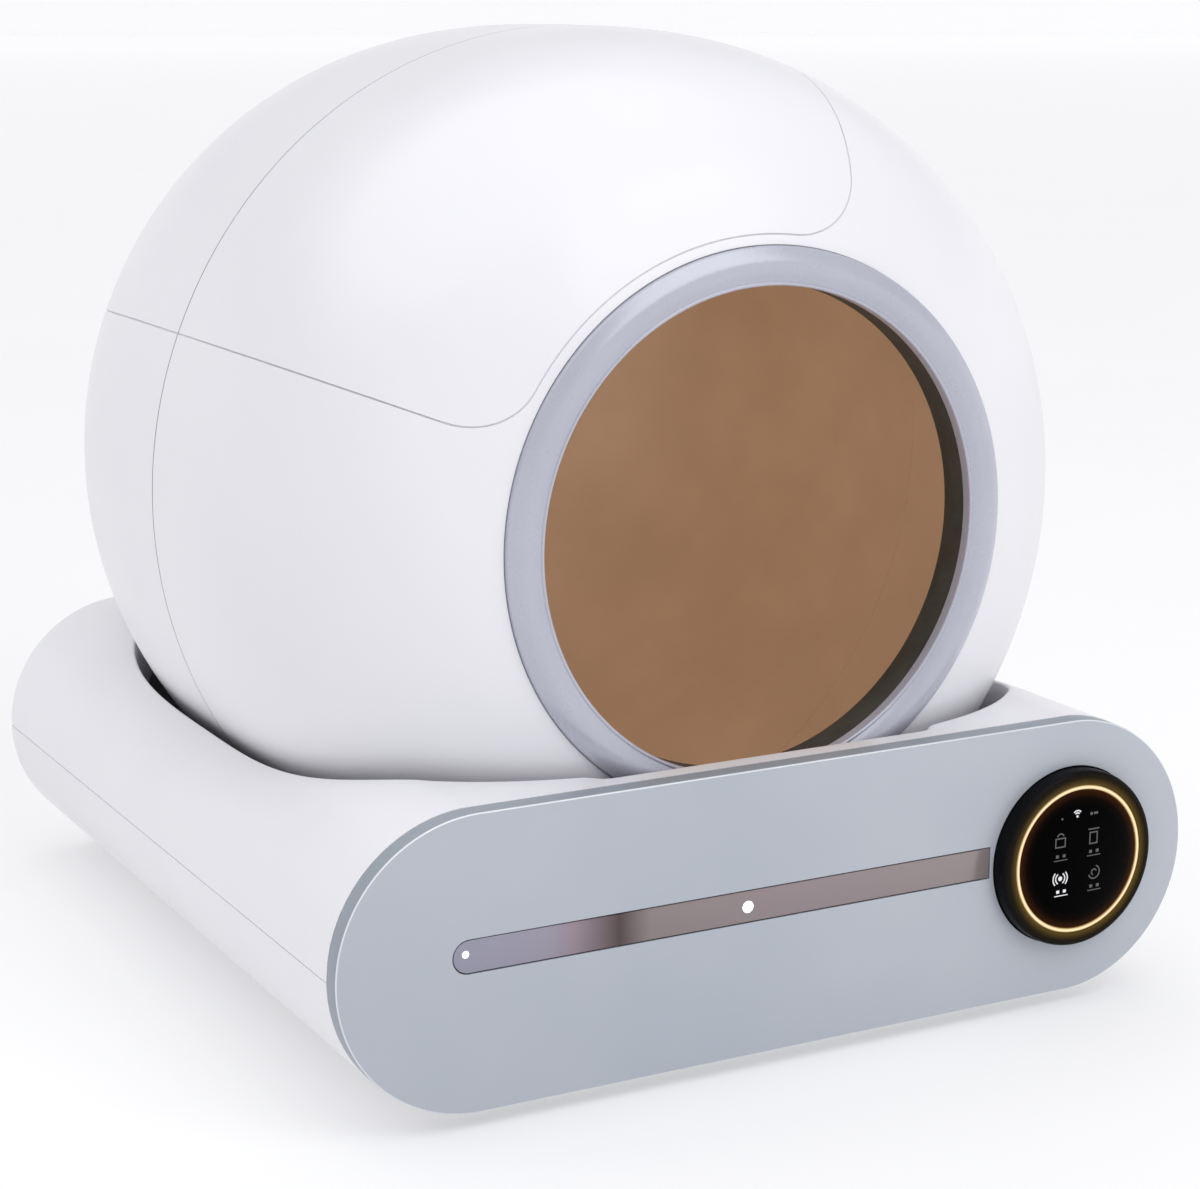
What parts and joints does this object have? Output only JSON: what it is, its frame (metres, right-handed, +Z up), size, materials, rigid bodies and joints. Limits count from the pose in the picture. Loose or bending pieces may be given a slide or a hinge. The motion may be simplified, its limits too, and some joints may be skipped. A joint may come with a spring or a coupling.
{
  "type": "self cleaning litter box",
  "caption": "Enclosed pet litter drum with a round entry that turns in a low pill-shaped base, with a waste drawer and a touch dial.",
  "frame": {"origin": "middle of the footprint's bounding box, on the floor under the foot pads", "axes": "+X to the right seen from the entry, +Y to the rear, +Z up"},
  "size_m": [0.5, 0.5394, 0.5185],
  "materials": {
    "white_shell": "satin gloss white",
    "panel_plastic": "satin blue-grey",
    "ring_plastic": "satin pale blue-grey",
    "liner_plastic": "matt tan",
    "dark_rubber": "matt near-black",
    "dial_black": "gloss black",
    "dial_face": "polished black",
    "light_gold": "lit pale gold diffuser",
    "smoked_window": "half-mirrored mauve grey",
    "grey_plastic": "fine matt grey",
    "steel": "bright",
    "board_green": "board lacquer",
    "nylon": "natural",
    "magnet_metal": "nickel plated"
  },
  "bodies": {
    "base": {"base_lower_shell": "white_shell", "base_upper_shell": "white_shell", "front_bulkhead": "grey_plastic", "dial_housing": "dial_black", "dial_light_ring": "light_gold", "dial_glass": "dial_face", "touch_board": "board_green", "main_board": "board_green", "motor_can": "steel", "gearbox_case": "grey_plastic", "power_inlet": "dark_rubber", "hall_sensor": "board_green", "roller_carrier_left": "grey_plastic", "roller_carrier_right": "grey_plastic", "bin_runner_inner": "grey_plastic", "bin_runner_outer": "grey_plastic", "catch_plate": "steel", "weight_sensor_front_left": "steel", "foot_pad_front_left": "dark_rubber", "roller_axle_front_left": "steel", "weight_sensor_front_right": "steel", "foot_pad_front_right": "dark_rubber", "roller_axle_front_right": "steel", "weight_sensor_rear_left": "steel", "foot_pad_rear_left": "dark_rubber", "roller_axle_rear_left": "steel", "weight_sensor_rear_right": "steel", "foot_pad_rear_right": "dark_rubber", "roller_axle_rear_right": "steel"},
    "drum": {"drum_front_shell": "white_shell", "drum_rear_shell": "white_shell", "hatch_front_cover": "white_shell", "hatch_rear_cover": "white_shell", "hatch_seam_rib": "grey_plastic", "drum_seam_ring": "grey_plastic", "entry_ring": "ring_plastic", "entry_collar": "dark_rubber", "litter_liner_front": "liner_plastic", "litter_liner_rear": "liner_plastic", "sieve_basket_right": "grey_plastic", "sieve_basket_left": "grey_plastic", "waste_port_chute": "grey_plastic", "ring_gear": "nylon", "index_magnet": "magnet_metal"},
    "drawer": {"drawer_front_panel": "panel_plastic", "light_window": "smoked_window", "led_board": "board_green", "waste_bin": "white_shell", "bag_frame": "grey_plastic", "panel_magnet": "magnet_metal"},
    "pinion": {"drive_pinion": "nylon", "drive_shaft": "steel"},
    "roller_front_left": {"roller_front_left": "dark_rubber"},
    "roller_front_right": {"roller_front_right": "dark_rubber"},
    "roller_rear_left": {"roller_rear_left": "dark_rubber"},
    "roller_rear_right": {"roller_rear_right": "dark_rubber"}
  },
  "joints": [
    {"name": "drum_turn", "type": "hinge", "parent": "base", "child": "drum", "pos_m": [0, -0.01525, 0.271], "axis": [0, 1, 0], "continuous": true},
    {"name": "pinion_turn", "type": "hinge", "parent": "base", "child": "pinion", "pos_m": [0.14398, 0.22274, 0.0994], "axis": [0, 1, 0], "continuous": true},
    {"name": "drawer_slide", "type": "slide", "parent": "base", "child": "drawer", "axis": [0, -1, 0], "range_m": [0, 0.32]},
    {"name": "roller_front_left_turn", "type": "hinge", "parent": "base", "child": "roller_front_left", "pos_m": [-0.212, -0.07524, 0.12268], "axis": [0, 1, 0], "continuous": true},
    {"name": "roller_front_right_turn", "type": "hinge", "parent": "base", "child": "roller_front_right", "pos_m": [0.212, -0.07524, 0.12268], "axis": [0, 1, 0], "continuous": true},
    {"name": "roller_rear_left_turn", "type": "hinge", "parent": "base", "child": "roller_rear_left", "pos_m": [-0.21245, 0.04474, 0.12224], "axis": [0, 1, 0], "continuous": true},
    {"name": "roller_rear_right_turn", "type": "hinge", "parent": "base", "child": "roller_rear_right", "pos_m": [0.21245, 0.04474, 0.12224], "axis": [0, 1, 0], "continuous": true}
  ],
  "couplings": [
    {"joint": "pinion_turn", "follows": "drum_turn", "ratio": -6},
    {"joint": "roller_front_left_turn", "follows": "drum_turn", "ratio": -20.536},
    {"joint": "roller_front_right_turn", "follows": "drum_turn", "ratio": -20.536},
    {"joint": "roller_rear_left_turn", "follows": "drum_turn", "ratio": -20.588},
    {"joint": "roller_rear_right_turn", "follows": "drum_turn", "ratio": -20.588}
  ]
}
